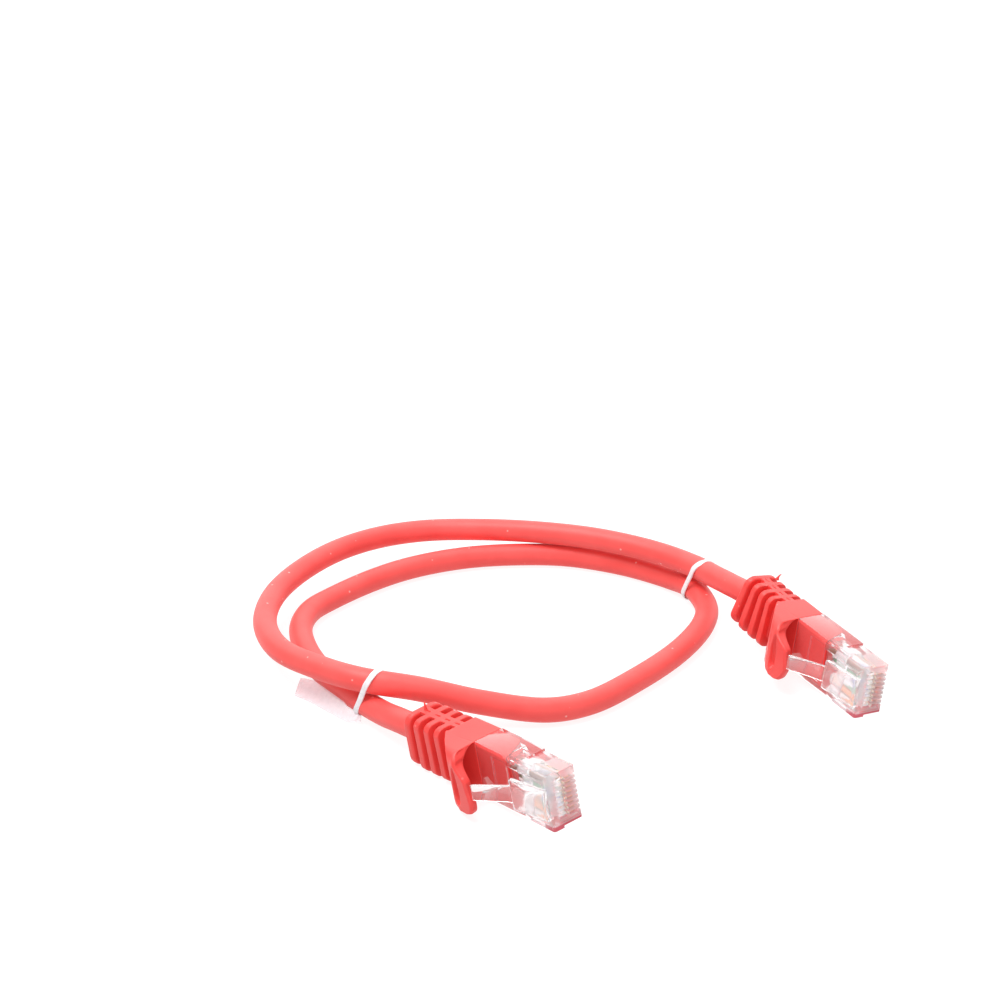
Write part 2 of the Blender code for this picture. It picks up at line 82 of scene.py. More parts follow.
# boot
BOOT_LENGTH = 19.2
BLOCK_LENGTH = 7.6
BLOCK_HALF_T = 3.75
GROOVE = 1.46
RIB_PITCH = 2.85
RIB_COUNT = 4
RIB_HALF_T = 4.4
GROOVE_DEPTH = 1.6
SPINE_HALF = 1.1
BOOT_VOXEL = 0.12
TOP_SKIN = 0.06

# snag guard: its low end, its foot on the block, its height, and the arch under its hood
GUARD_LOW = -5.75
GUARD_FOOT = -5.4
GUARD_B = 6.5
GUARD_STEPS = 56
ARCH_B = 4.7
ARCH_START = 1.2
ARCH_RISE = 4.6
ARCH_SLOPE = 1.18
HOOD_ROUND = 2.6
GUARD_END_ROUND = 1.6
LENS_HALF_LENGTH = 4.2

# place, turn: the plug's origin, and its yaw, pitch and roll.
# drift, bend, twist: how the soft boot leaves the plug's line.
# rims: points (z, x) of the guard's free edge.
# nib: its y, its lean along x and along y, its height.
# lens: middle x, middle z and depth of the hollow in the guard.
ENDS = {
    "a": {
        "place": (1.9, -71.0, 7.46),
        "turn": (-54.2, 8.3, 5.8),
        "drift": (0.147, -0.054),
        "bend": (-0.0022, 0.0092),
        "twist": -0.0026,
        "rims": ((-5.75, 5.1), (-3.5, 5.2), (0.7, 4.4), (4.2, 1.5), (HALF_W, 0.5)),
        "nib": (0.1, -0.25, 0.1, 1.5),
        "lens": (0.7, -0.6, 0.8),
    },
    "b": {
        "place": (67.3, -23.5, 8.4),
        "turn": (-61.2, -3.0, -5.3),
        "drift": (0.031, 0.004),
        "bend": (0.0044, 0.0172),
        "twist": 0.0073,
        "rims": ((-5.75, 4.9), (-2.0, 6.0), (1.5, 5.4), (4.4, 1.5), (HALF_W, 0.5)),
        "nib": (3.4, 0.15, 0.5, 1.0),
        "lens": (1.4, -0.2, 0.8),
    },
}

TAIL_A = ((-16.8, -51.0, 5.1), (-20.1, -46.3, 3.9))
TIE_1_LOW = (-24.9, -40.1, 3.38)
LOW_TURN = (
    (-33.5, -27.0),
    (-38.3, -16.0),
    (-40.2, -6.0),
    (-38.7, 1.9),
    (-34.4, 8.1),
    (-25.5, 17.6),
    (-16.8, 24.1),
    (-5.0, 29.1),
    (8.0, 30.9),
    (19.4, 30.1),
    (32.0, 25.2),
    (41.8, 18.4),
)
TIE_2_LOW = (46.4, 11.6, 3.38)
FRONT_RUN = (
    (48.8, 4.6, LOW_Z),
    (47.6, -4.0, LOW_Z),
    (41.8, -16.1, LOW_Z),
    (31.7, -29.3, LOW_Z),
    (21.2, -39.4, LOW_Z),
    (12.4, -42.9, 2.8),
    (-1.0, -42.8, 4.6),
    (-12.8, -42.4, 7.3),
)
TIE_1_HIGH = (-25.0, -41.2, 8.9)
HIGH_TURN = (
    (-33.6, -35.2, 8.3),
    (-42.4, -26.6, 7.75),
    (-47.0, -14.2, 7.3),
    (-46.7, -1.0, 7.1),
    (-42.4, 11.4, 7.0),
    (-34.4, 23.3, 7.0),
    (-25.0, 30.8, 6.95),
    (-14.5, 34.4, 7.0),
    (-1.6, 34.6, 7.2),
    (12.4, 32.2, 7.6),
    (26.0, 27.3, 8.1),
    (38.6, 19.6, 8.4),
)
TIE_2_HIGH = (47.0, 11.0, 8.85)
TAIL_B = ((50.8, 4.5, 9.5), (53.2, 0.0, 10.1))

# The first tie's film end: (edge on the table, edge on the strand) from the root to the free end.
FILM = (
    ((-24.9, -44.4, 0.3), (-25.0, -43.25, 2.3)),
    ((-27.5, -43.5, 0.2), (-27.6, -41.9, 2.9)),
    ((-28.9, -42.3, 0.2), (-28.8, -39.7, 3.05)),
    ((-32.5, -38.6, 0.2), (-32.0, -35.2, 2.9)),
    ((-36.0, -34.9, 0.2), (-35.4, -29.8, 2.3)),
    ((-38.7, -32.8, 0.2), (-37.3, -27.8, 1.7)),
    ((-39.5, -32.3, 0.3), (-38.6, -26.6, 1.25)),
)

# How far each tie slides along the lower and the upper strand, so that it slants.
TIE_1_SLIDE = (-1.0, -2.6)
TIE_2_SLIDE = (0.6, 2.2)
TIE_GAP = 0.28

# Name, stripe colour and place in the cable (y, z) of each wire, in the order of the contacts.
WIRES = (
    ("white_orange", "orange", (0.0, -1.58)),
    ("orange", None, (0.0, -0.76)),
    ("white_green", "green", (-1.17, -0.41)),
    ("blue", None, (1.17, -0.41)),
    ("white_blue", "blue", (1.17, 0.41)),
    ("green", None, (-1.17, 0.41)),
    ("white_brown", "brown", (0.0, 0.76)),
    ("brown", None, (0.0, 1.58)),
)
WIRE_COLOURS = {
    "white": (0.86, 0.85, 0.83),
    "orange": (0.90, 0.27, 0.03),
    "green": (0.06, 0.30, 0.10),
    "blue": (0.05, 0.10, 0.50),
    "brown": (0.22, 0.08, 0.03),
}
TONGUE_RED = (0.80, 0.055, 0.05)
TIE_WHITE = (0.86, 0.84, 0.86)
DUST = (0.95, 0.62, 0.60)

# Soft PVC: colour, lighter mottling, strength of the dust specks, roughness.
CABLE_LOOK = ((0.84, 0.075, 0.068), (0.88, 0.09, 0.082), 0.5, 0.5)
BOOT_LOOK = ((0.80, 0.050, 0.045), (0.83, 0.060, 0.052), 0.15, 0.45)

# Clear plastics: tint, colour of the haze, roughness, share of haze.
CLEAR_LOOK = ((1.0, 0.985, 0.985), (0.95, 0.93, 0.94), 0.03, 0.04)
# The edge look's pink haze is a painted glow: the red fill's light through the clear walls, painted on the
# rounded edges.
PAINTED_PINK_EDGE_LOOK = ((0.94, 0.70, 0.74), (0.66, 0.28, 0.32), 0.1, 0.45)
COMB_LOOK = ((0.97, 0.97, 0.98), (0.95, 0.93, 0.94), 0.12, 0.25)

# The plug's nose is hazier from NOSE_X on, and its lower lip has a painted red glow within LIP_X and LIP_Z.
NOSE_X = (13.0, 14.5)
NOSE_HAZE = 0.18
LIP_X = (19.2, 19.6)
LIP_Z = (-5.0, -4.7)
LIP_GLOW_SHARE = 0.5
LIP_PAINTED_GLOW = (0.60, 0.10, 0.13)

# Latch sections from the nose to the free end: x, b, half width, thickness.
LATCH = (
    (22.1, 0.55, 3.2, 0.95),
    (21.2, 0.75, 3.2, 0.9),
    (19.5, 0.95, 3.2, 0.85),
    (16.0, 1.45, 3.2, 0.85),
    (13.45, 1.80, 3.2, 0.95),
    (13.15, 1.88, 3.15, 0.9),
    (13.1, 1.90, 1.75, 0.85),
    (12.0, 2.60, 1.7, 0.75),
    (9.0, 4.60, 1.65, 0.7),
    (6.9, 5.98, 1.6, 0.7),
    (6.4, 6.30, 1.55, 0.6),
)

# Soft lights over the table: name, place and size in metres, power.
LIGHTS = (
    ("key", (-0.25, -0.05, 0.8), 0.5, 7.0),
    ("back", (0.1, 1.1, 0.55), 3.0, 34.0),
    ("front", (0.1, -1.2, 0.5), 1.0, 4.5),
)
CAMERA_PLACE = (3.1, -426.6, 220.1)
CAMERA_TILT = 66.0
CAMERA_LENS = 78.19
FLOOR_SIZE = 3


# ---------------------------------------------------------------- materials


def tree_of(name):
    mat = bpy.data.materials.new(name)
    mat.use_nodes = True
    tree = mat.node_tree
    return mat, tree, tree.nodes["Principled BSDF"], tree.nodes["Material Output"]


def node(tree, kind, **values):
    made = tree.nodes.new(kind)
    for key, value in values.items():
        if key in made.inputs.keys():
            made.inputs[key].default_value = value
        else:
            setattr(made, key, value)
    return made


def millimetres(tree):
    """Object coordinates in millimetres."""
    coords = tree.nodes.new("ShaderNodeTexCoord")
    scale = node(tree, "ShaderNodeMapping")
    scale.inputs["Scale"].default_value = (1 / MM, 1 / MM, 1 / MM)
    tree.links.new(coords.outputs["Object"], scale.inputs["Vector"])
    return scale.outputs["Vector"]


def ramp(tree, source, low, high, first, last):
    """The source's range from low to high, turned into a range from first to last."""
    made = tree.nodes.new("ShaderNodeMapRange")
    made.inputs["From Min"].default_value = low
    made.inputs["From Max"].default_value = high
    made.inputs["To Min"].default_value = first
    made.inputs["To Max"].default_value = last
    tree.links.new(source, made.inputs["Value"])
    return made.outputs["Result"]


def mix_colour(tree, factor, first, second):
    made = tree.nodes.new("ShaderNodeMix")
    made.data_type = "RGBA"
    tree.links.new(factor, made.inputs["Factor"])
    for socket, value in ((made.inputs["A"], first), (made.inputs["B"], second)):
        colour = [s for s in made.inputs if s.name == socket.name and s.type == "RGBA"][0]
        if isinstance(value, tuple):
            colour.default_value = (*value, 1.0)
        else:
            tree.links.new(value, colour)
    return [s for s in made.outputs if s.type == "RGBA"][0]


def pvc(name, colour, light, dust, roughness):
    """Soft PVC: mottled colour, a fine skin, a few pale dust specks."""
    mat, tree, shader, _ = tree_of(name)
    place = millimetres(tree)
    mottle = node(tree, "ShaderNodeTexNoise", Scale=0.16, Detail=3.0)
    grain = node(tree, "ShaderNodeTexNoise", Scale=5.0, Detail=4.0)
    specks = node(tree, "ShaderNodeTexVoronoi", Scale=0.3)
    for made in (mottle, grain, specks):
        tree.links.new(place, made.inputs["Vector"])
    base = mix_colour(tree, ramp(tree, mottle.outputs["Fac"], 0.35, 0.65, 0.0, 1.0), colour, light)
    spot = ramp(tree, specks.outputs["Distance"], 0.05, 0.09, dust, 0.0)
    base = mix_colour(tree, spot, base, DUST)
    tree.links.new(base, shader.inputs["Base Color"])
    gloss = ramp(tree, grain.outputs["Fac"], 0.3, 0.7, roughness - 0.05, roughness + 0.06)
    tree.links.new(gloss, shader.inputs["Roughness"])
    bump = node(tree, "ShaderNodeBump", Strength=0.12, Distance=0.00004)
    tree.links.new(grain.outputs["Fac"], bump.inputs["Height"])
    tree.links.new(bump.outputs["Normal"], shader.inputs["Normal"])
    shader.inputs["Subsurface Weight"].default_value = 0.05
    shader.inputs["Subsurface Radius"].default_value = (1.2, 0.3, 0.25)
    shader.inputs["Subsurface Scale"].default_value = MM
    shader.inputs["Specular IOR Level"].default_value = 0.45
    shader.inputs["Sheen Weight"].default_value = 0.06
    return mat


def clear_plastic(name, tint, haze_tint, roughness, milk, matrix=None):
    """Clear moulded plastic, partly milky. A plug's body gets its matrix too, for the haze at its nose and
    the painted red glow at its lower lip.
    """
    mat, tree, shader, output = tree_of(name)
    place = millimetres(tree)
    flow = node(tree, "ShaderNodeTexNoise", Scale=0.45, Detail=2.0)
    tree.links.new(place, flow.inputs["Vector"])
    gloss = ramp(tree, flow.outputs["Fac"], 0.3, 0.7, roughness, roughness + 0.05)
    tree.links.new(gloss, shader.inputs["Roughness"])
    bump = node(tree, "ShaderNodeBump", Strength=0.10, Distance=0.00006)
    tree.links.new(flow.outputs["Fac"], bump.inputs["Height"])
    tree.links.new(bump.outputs["Normal"], shader.inputs["Normal"])
    shader.inputs["Base Color"].default_value = (*tint, 1.0)
    shader.inputs["Transmission Weight"].default_value = 1.0
    shader.inputs["IOR"].default_value = 1.5
    shader.inputs["Specular IOR Level"].default_value = 0.2
    haze = node(tree, "ShaderNodeBsdfDiffuse", Color=(*haze_tint, 1.0))
    hazy = tree.nodes.new("ShaderNodeMixShader")
    hazy.inputs[0].default_value = milk
    if matrix:
        lip, nose = plug_masks(tree, matrix)
        share = tree.nodes.new("ShaderNodeMath")
        tree.links.new(ramp(tree, nose, 0.0, 1.0, milk, NOSE_HAZE), share.inputs[0])
        # At the lower lip the diffuse haze turns red: a painted red glow.
        tree.links.new(ramp(tree, lip, 0.0, 1.0, 0.0, LIP_GLOW_SHARE), share.inputs[1])
        tree.links.new(share.outputs[0], hazy.inputs[0])
        tree.links.new(mix_colour(tree, lip, haze_tint, LIP_PAINTED_GLOW), haze.inputs["Color"])
    tree.links.new(shader.outputs[0], hazy.inputs[1])
    tree.links.new(haze.outputs[0], hazy.inputs[2])
    pass_light(tree, hazy.outputs[0], output)
    return mat


def pass_light(tree, surface, output):
    """Light passes the plastic straight for shadow and diffuse rays, so that what is inside stays lit."""
    path = tree.nodes.new("ShaderNodeLightPath")
    either = tree.nodes.new("ShaderNodeMath")
    either.operation = "MAXIMUM"
    tree.links.new(path.outputs["Is Shadow Ray"], either.inputs[0])
    tree.links.new(path.outputs["Is Diffuse Ray"], either.inputs[1])
    passing = tree.nodes.new("ShaderNodeBsdfTransparent")
    passing.inputs["Color"].default_value = (0.97, 0.96, 0.97, 1.0)
    mixed = tree.nodes.new("ShaderNodeMixShader")
    tree.links.new(either.outputs[0], mixed.inputs[0])
    tree.links.new(surface, mixed.inputs[1])
    tree.links.new(passing.outputs[0], mixed.inputs[2])
    tree.links.new(mixed.outputs[0], output.inputs["Surface"])


def plug_masks(tree, matrix):
    """Masks in the plug's own frame: its lower nose lip, which gets a painted red glow, and its hazy front
    half.
    """
    coords = tree.nodes.new("ShaderNodeTexCoord")
    local = node(tree, "ShaderNodeMapping", vector_type="TEXTURE")
    local.inputs["Location"].default_value = row(matrix.translation)
    local.inputs["Rotation"].default_value = matrix.to_euler()
    local.inputs["Scale"].default_value = (MM, MM, MM)
    parts = tree.nodes.new("ShaderNodeSeparateXYZ")
    tree.links.new(coords.outputs["Object"], local.inputs["Vector"])
    tree.links.new(local.outputs["Vector"], parts.inputs["Vector"])
    both = tree.nodes.new("ShaderNodeMath")
    both.operation = "MULTIPLY"
    tree.links.new(ramp(tree, parts.outputs["X"], *LIP_X, 0.0, 1.0), both.inputs[0])
    tree.links.new(ramp(tree, parts.outputs["Z"], *LIP_Z, 1.0, 0.0), both.inputs[1])
    return both.outputs[0], ramp(tree, parts.outputs["X"], *NOSE_X, 0.0, 1.0)


def satin(name, colour, roughness):
    """Opaque moulded plastic with slight colour and gloss variation."""
    mat, tree, shader, _ = tree_of(name)
    place = millimetres(tree)
    cloud = node(tree, "ShaderNodeTexNoise", Scale=2.0, Detail=3.0)
    tree.links.new(place, cloud.inputs["Vector"])
    dark = tuple(c * 0.88 for c in colour)
    share = ramp(tree, cloud.outputs["Fac"], 0.35, 0.65, 0.0, 1.0)
    tree.links.new(mix_colour(tree, share, dark, colour), shader.inputs["Base Color"])
    gloss = ramp(tree, cloud.outputs["Fac"], 0.3, 0.7, roughness - 0.06, roughness + 0.06)
    tree.links.new(gloss, shader.inputs["Roughness"])
    bump = node(tree, "ShaderNodeBump", Strength=0.15, Distance=0.00003)
    tree.links.new(cloud.outputs["Fac"], bump.inputs["Height"])
    tree.links.new(bump.outputs["Normal"], shader.inputs["Normal"])
    return mat


def film_material():
    """Thin cloudy film: partly see-through, glossy."""
    mat, tree, shader, output = tree_of("cloudy_film")
    place = millimetres(tree)
    cloud = node(tree, "ShaderNodeTexNoise", Scale=0.6, Detail=4.0)
    tree.links.new(place, cloud.inputs["Vector"])
    shader.inputs["Base Color"].default_value = (0.97, 0.92, 0.94, 1.0)
    shader.inputs["Roughness"].default_value = 0.28
    bump = node(tree, "ShaderNodeBump", Strength=0.3, Distance=0.0002)
    tree.links.new(cloud.outputs["Fac"], bump.inputs["Height"])
    tree.links.new(bump.outputs["Normal"], shader.inputs["Normal"])
    clear = tree.nodes.new("ShaderNodeBsdfTransparent")
    clear.inputs["Color"].default_value = (0.98, 0.91, 0.93, 1.0)
    mixed = tree.nodes.new("ShaderNodeMixShader")
    tree.links.new(ramp(tree, cloud.outputs["Fac"], 0.3, 0.7, 0.45, 0.6), mixed.inputs[0])
    tree.links.new(shader.outputs[0], mixed.inputs[1])
    tree.links.new(clear.outputs[0], mixed.inputs[2])
    tree.links.new(mixed.outputs[0], output.inputs["Surface"])
    return mat


def gold_material():
    """Thin gold plating, unevenly pale."""
    mat, tree, shader, _ = tree_of("gold_plate")
    place = millimetres(tree)
    wear = node(tree, "ShaderNodeTexNoise", Scale=3.0, Detail=4.0)
    tree.links.new(place, wear.inputs["Vector"])
    share = ramp(tree, wear.outputs["Fac"], 0.35, 0.65, 0.0, 1.0)
    tone = mix_colour(tree, share, (0.90, 0.74, 0.42), (0.96, 0.86, 0.62))
    tree.links.new(tone, shader.inputs["Base Color"])
    tree.links.new(ramp(tree, wear.outputs["Fac"], 0.3, 0.7, 0.16, 0.3), shader.inputs["Roughness"])
    shader.inputs["Metallic"].default_value = 1.0
    return mat


# ---------------------------------------------------------------- mesh helpers


def place_object(name, mesh, mats):
    for mat in mats:
        mesh.materials.append(mat)
    obj = bpy.data.objects.new(name, mesh)
    bpy.context.scene.collection.objects.link(obj)
    return obj


def build(name, verts, faces, mats, sharp=None):
    """A closed object from points in the coil's frame, in millimetres."""
    mesh = bpy.data.meshes.new(name)
    mesh.from_pydata([(Vector(v) + COIL_CENTRE) * MM for v in verts], [], faces)
    outward(mesh)
    mesh.shade_smooth()
    if sharp:
        mesh.set_sharp_from_angle(angle=math.radians(sharp))
    return place_object(name, mesh, mats)


def outward(mesh):
    """Turns every face's front to the outside."""
    fix = bmesh.new()
    fix.from_mesh(mesh)
    bmesh.ops.recalc_face_normals(fix, faces=fix.faces)
    fix.to_mesh(mesh)
    fix.free()


def band(first, second, count):
    """Quads between two rings of vertices that start at first and at second."""
    nexts = [(i, (i + 1) % count) for i in range(count)]
    return [(first + i, first + j, second + j, second + i) for i, j in nexts]


def loft(rings):
    """A closed solid through rings of equal count, with flat ends."""
    count = len(rings[0])
    verts = [v for ring in rings for v in ring]
    faces = [tuple(range(count)), tuple(range(len(verts) - count, len(verts)))]
    for k in range(len(rings) - 1):
        faces += band(k * count, (k + 1) * count, count)
    return verts, faces


def torus(rings):
    """A closed ring of cross-sections."""
    count = len(rings[0])
    verts = [v for ring in rings for v in ring]
    faces = []
    for k in range(len(rings)):
        faces += band(k * count, (k + 1) % len(rings) * count, count)
    return verts, faces


def circle(radius, sides):
    step = 2 * math.pi / sides
    return [(radius * math.sin(step * i), radius * math.cos(step * i)) for i in range(sides)]


def rounded(half_t, half_w, corner, steps=5):
    """Points (y, z) of a rounded rectangle."""
    points = []
    for turn, (sy, sz) in enumerate(((1, 1), (1, -1), (-1, -1), (-1, 1))):
        cy, cz = sy * (half_t - corner), sz * (half_w - corner)
        for i in range(steps + 1):
            angle = math.pi / 2 * (turn + i / steps)
            points.append((cy + corner * math.sin(angle), cz + corner * math.cos(angle)))
    return points


def join(solids):
    """One list of vertices and faces from several closed solids."""
    verts, faces = [], []
    for more_verts, more_faces in solids:
        start = len(verts)
        verts += [tuple(v) for v in more_verts]
        faces += [tuple(start + i for i in face) for face in more_faces]
    return verts, faces


def evaluated(obj):
    """The object's mesh with its modifiers applied; the object is removed."""
    depsgraph = bpy.context.evaluated_depsgraph_get()
    mesh = bpy.data.meshes.new_from_object(obj.evaluated_get(depsgraph))
    bpy.data.objects.remove(obj, do_unlink=True)
    return mesh


def fused(solids, voxel, smoothing):
    """Overlapping closed solids melted into one skin, in local millimetres."""
    verts, faces = join(solids)
    mesh = bpy.data.meshes.new("melt")
    mesh.from_pydata(verts, [], faces)
    outward(mesh)
    obj = place_object("melt", mesh, [])
    skin = obj.modifiers.new("skin", "REMESH")
    skin.mode = "VOXEL"
    skin.voxel_size = voxel
    soft = obj.modifiers.new("soft", "SMOOTH")
    soft.factor = 0.5
    soft.iterations = smoothing
    return evaluated(obj)


def block(low, high):
    """An axis-aligned closed block in local millimetres."""
    verts = [(x, y, z) for x in (low[0], high[0]) for y in (low[1], high[1]) for z in (low[2], high[2])]
    return verts, [(0, 1, 3, 2), (4, 6, 7, 5), (0, 4, 5, 1), (2, 3, 7, 6), (0, 2, 6, 4), (1, 5, 7, 3)]


def carved(solid, cutters, bevel):
    """A solid with cutters taken away and its edges rounded, in local millimetres."""
    mesh = bpy.data.meshes.new("carve")
    mesh.from_pydata(solid[0], [], solid[1])
    outward(mesh)
    obj = place_object("carve", mesh, [None, None])
    tools = []
    for k, (verts, faces) in enumerate(cutters):
        tool_mesh = bpy.data.meshes.new(f"tool{k}")
        tool_mesh.from_pydata(verts, [], faces)
        outward(tool_mesh)
        tools.append(place_object(f"tool{k}", tool_mesh, []))
        step = obj.modifiers.new(f"cut{k}", "BOOLEAN")
        step.operation = "DIFFERENCE"
        step.solver = "EXACT"
        step.object = tools[-1]
    edge = obj.modifiers.new("edge", "BEVEL")
    edge.width = bevel
    edge.segments = 2
    edge.limit_method = "ANGLE"
    edge.angle_limit = math.radians(30)
    edge.material = 1
    made = evaluated(obj)
    for tool in tools:
        bpy.data.objects.remove(tool, do_unlink=True)
    return made


def bring(name, mesh, place, mats, sharp=None):
    """Turns a local mesh into a placed object; place maps a local point to the coil's frame."""
    for vert in mesh.vertices:
        vert.co = (place(vert.co) + COIL_CENTRE) * MM
    mesh.name = name
    mesh.update()
    mesh.shade_smooth()
    if sharp:
        mesh.set_sharp_from_angle(angle=math.radians(sharp))
    for k, mat in enumerate(mats):
        if k < len(mesh.materials):
            mesh.materials[k] = mat
        else:
            mesh.materials.append(mat)
    return place_object(name, mesh, [])


# ---------------------------------------------------------------- the lay of the cable


def catmull(points, per_span=12):
    """Centripetal spline through the points, as a dense polyline."""
    p = [points[0] * 2 - points[1]] + list(points) + [points[-1] * 2 - points[-2]]
    out = []
    for k in range(1, len(p) - 2):
        knots = [0.0]
        for i in range(3):
            knots.append(knots[-1] + math.sqrt((p[k + i] - p[k + i - 1]).length))
        for j in range(per_span):
            t = knots[1] + (knots[2] - knots[1]) * j / per_span
            out.append(spline_point(p[k - 1 : k + 3], knots, t))
    return out + [points[-1]]


def spline_point(p, knots, t):
    """The point at t of the spline span between the middle two of four points."""

    def mix(a, b, i, j):
        return a * ((knots[j] - t) / (knots[j] - knots[i])) + b * ((t - knots[i]) / (knots[j] - knots[i]))

    a1, a2, a3 = (mix(p[i], p[i + 1], i, i + 1) for i in range(3))
    return mix(mix(a1, a2, 0, 2), mix(a2, a3, 1, 3), 1, 2)


class Lay:
    """The cable's centre line by arc length."""

    def __init__(self, points):
        self.line = catmull(points)
        self.run = [0.0]
        for a, b in zip(self.line, self.line[1:]):
            self.run.append(self.run[-1] + (b - a).length)
        self.length = self.run[-1]

    def at(self, s):
        k = max(i for i, r in enumerate(self.run[:-1]) if r <= max(s, 0.0))
        a, b = self.line[k], self.line[k + 1]
        return a + (b - a) * ((s - self.run[k]) / (b - a).length)

    def nearest(self, point):
        return min(zip(self.run, self.line), key=lambda rp: (rp[1] - Vector(point)).length)[0]

    def along(self, s, reach=1.5):
        return (self.at(min(s + reach, self.length)) - self.at(max(s - reach, 0.0))).normalized()


def plug_matrix(end):
    """From a plug's own frame to the coil's."""
    yaw, pitch, roll = (math.radians(degrees) for degrees in end["turn"])
    turn = Matrix.Rotation(yaw, 4, "Z") @ Matrix.Rotation(-pitch, 4, "Y") @ Matrix.Rotation(roll, 4, "X")
    return Matrix.Translation(Vector(end["place"])) @ turn


def boot_point(end, x, y=0.0, z=0.0):
    """A point of the soft boot in the plug's frame, off the plug's line and bent behind its block."""
    back, bent = min(x, 0.0), max(-x - BLOCK_LENGTH, 0.0)
    turn = end["twist"] * back
    y, z = y * math.cos(turn) - z * math.sin(turn), z * math.cos(turn) + y * math.sin(turn)
    (drift_y, drift_z), (bend_y, bend_z) = end["drift"], end["bend"]
    sideways = drift_y * back - bend_y * bent**2 / 2
    upwards = drift_z * back + bend_z * bent**2 / 2
    return Vector((x + (bend_z * z - bend_y * y) * bent, y + sideways, z + upwards))


def cable_points():
    """Points of the cable's centre line, from inside boot a round the coil and into boot b."""
    stations = (CABLE_END_X, -BLOCK_LENGTH, -14.0, -BOOT_LENGTH)
    ends = {k: [plug_matrix(e) @ boot_point(e, x) for x in stations] for k, e in ENDS.items()}
    middle = list(TAIL_A) + [TIE_1_LOW] + [(x, y, LOW_Z) for x, y in LOW_TURN] + [TIE_2_LOW]
    middle += list(FRONT_RUN) + [TIE_1_HIGH] + list(HIGH_TURN) + [TIE_2_HIGH] + list(TAIL_B)
    return ends["a"] + [Vector(p) for p in middle] + ends["b"][::-1]


LAY = Lay(cable_points())
PLUGS = {key: plug_matrix(end) for key, end in ENDS.items()}
TIE_SPOTS = {"a": LAY.nearest(TIE_1_LOW), "b": LAY.nearest(TIE_2_HIGH)}


def row(point):
    """A point of the coil's frame, in the scene's metres."""
    return (Vector(point) + COIL_CENTRE) * MM


def stand_for(piece, body, slot, *nodes):
    """The piece rides on a body and replaces CAD nodes; its slot argument is not used."""
    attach(piece, body)
    if nodes:
        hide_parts(*nodes)


def ease(t):
    """A smooth step from zero to one."""
    t = min(max(t, 0.0), 1.0)
    return t * t * (3 - 2 * t)


# ---------------------------------------------------------------- cable, ties and film


def cable_rings(first, last):
    """Round sections along the lay, with the slight unevenness of an extruded jacket."""
    count = max(2, round((last - first) / CABLE_STEP))
    rings = []
    for i in range(count + 1):
        s = first + (last - first) * i / count
        along = LAY.along(s)
        side = Vector((0, 0, 1)).cross(along).normalized()
        rise = along.cross(side)
        radius = JACKET_R * (1 + 0.006 * noise.noise(Vector((s * 0.08, 0.3, 1.7))))
        centre = LAY.at(s)
        rings.append([centre + side * y + rise * z for y, z in circle(radius, CABLE_SIDES)])
    return rings


def make_cable(red):
    """The cable, whole from boot to boot; its pieces meet under the ties."""
    coil = build("cable_coil", *loft(cable_rings(TIE_SPOTS["a"], TIE_SPOTS["b"])), [red], sharp=50)
    pairs = [f"pair_{name}" for name in ("orange", "green", "blue", "brown")]
    stand_for(coil, "coil", "red_pvc", "coil_jacket", *pairs)
    for key, first, last in (("a", 0.0, TIE_SPOTS["a"]), ("b", TIE_SPOTS["b"], LAY.length)):
        tail = build(f"cable_tail_{key}", *loft(cable_rings(first, last)), [red], sharp=50)
        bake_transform(tail)
        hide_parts(f"tail_jacket_{key}")


def tie_loop(low, high, along, radius, arc=20):
    """Points and outward directions of a band pulled tight round two strands."""
    across = (high - low).normalized()
    side = along.cross(across)
    points = []
    for centre, start in ((high, 0.0), (low, math.pi)):
        for i in range(arc):
            angle = start + math.pi * i / (arc - 1)
            out = side * math.cos(angle) + across * math.sin(angle)
            points.append((centre + out * radius, out))
        other = low if centre is high else high
        out = side * math.cos(start + math.pi)
        for i in range(1, 6):
            points.append((centre + (other - centre) * (i / 6) + out * radius, out))
    return points


def make_tie(name, node_name, low, high, slide, white):
    """A flat plastic-coated band, a little crinkled, round both strands."""
    low_s, high_s = LAY.nearest(low) + slide[0], LAY.nearest(high) + slide[1]
    low, high = LAY.at(low_s), LAY.at(high_s)
    across = (high - low).normalized()
    run = LAY.along(low_s) + LAY.along(high_s)
    along = (run - across * run.dot(across)).normalized()
    rings = []
    for k, (point, out) in enumerate(tie_loop(low, high, along, JACKET_R + TIE_GAP)):
        wave = noise.noise(Vector((k * 0.31, low.x, 2.0)))
        half = 0.6 + 0.07 * wave
        shift = 0.16 * noise.noise(Vector((k * 0.17, low.y, 5.0)))
        outside = ((-half, -0.10), (-half * 0.9, 0.16), (0.0, 0.22), (half * 0.9, 0.16))
        section = outside + ((half, -0.10), (0.0, -0.16))
        rings.append([point + along * (a + shift) + out * o for a, o in section])
    tie = build(name, *torus(rings), [white], sharp=50)
    stand_for(tie, "coil", "white_tie", node_name)


def film_line(i, t, tight, lift, across=12):
    """One creased line of points across the film at station t, raised by lift from its middle surface."""
    k = min(int(t), len(FILM) - 2)
    low = Vector(FILM[k][0]).lerp(Vector(FILM[k + 1][0]), t - k)
    high = Vector(FILM[k][1]).lerp(Vector(FILM[k + 1][1]), t - k)
    low, high = low.lerp((low + high) / 2, 0.45 * tight), high.lerp((low + high) / 2, 0.45 * tight)
    along = (Vector(FILM[k + 1][0]) - Vector(FILM[k][0])).normalized()
    normal = (high - low).cross(along).normalized()
    line = []
    for j in range(across + 1):
        u = j / across
        crease = 0.08 * math.sin(i * 0.5 + 2.2 * u) + 0.3 * tight * math.sin(i * 1.3 + 6 * u)
        fade = math.sin(math.pi * min(max(u, 0.06), 0.94))
        line.append(low.lerp(high, u) + normal * (lift + crease * fade))
    return line


